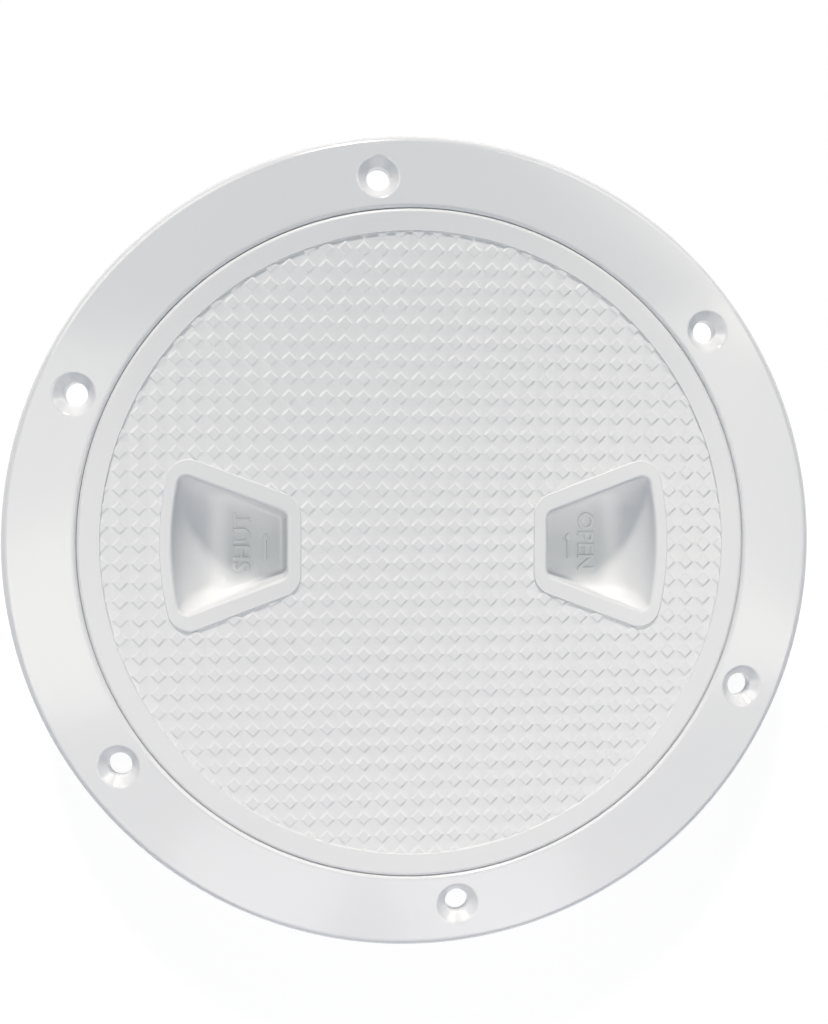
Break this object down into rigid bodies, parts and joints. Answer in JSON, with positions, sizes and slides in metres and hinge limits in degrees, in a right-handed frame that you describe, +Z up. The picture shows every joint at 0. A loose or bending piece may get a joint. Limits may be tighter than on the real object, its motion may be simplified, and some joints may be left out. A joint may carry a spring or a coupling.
{
  "type": "deck inspection plate",
  "caption": "Round screw-out deck inspection plate: flanged mounting ring with screw holes, threaded lid with diamond tread and finger pockets, and a rubber seal.",
  "frame": {"origin": "centre of the circle of screw holes, on the flange's flat underside, which is the deck surface", "axes": "+Z up out of the deck, +X along the line through both finger pockets towards the one marked for opening, +Y across it"},
  "size_m": [0.2, 0.2, 0.0255],
  "materials": {
    "ring_plastic": "gloss moulded white",
    "lid_plastic": "gloss moulded white",
    "seal_rubber": "matt black"
  },
  "bodies": {
    "ring": {"deck_ring": "ring_plastic"},
    "seal": {"o_ring": "seal_rubber"},
    "lid": {"screw_lid": "lid_plastic"}
  },
  "joints": [
    {"name": "lid_rise", "type": "slide", "parent": "ring", "child": "seal", "axis": [0, 0, 1], "range_m": [0, 0.0075]},
    {"name": "lid_turn", "type": "hinge", "parent": "seal", "child": "lid", "pos_m": [0, 0, 0], "axis": [0, 0, 1], "range_deg": [0, 540]}
  ],
  "couplings": [
    {"joint": "lid_rise", "follows": "lid_turn", "m_per_rad": 0.00079577}
  ]
}
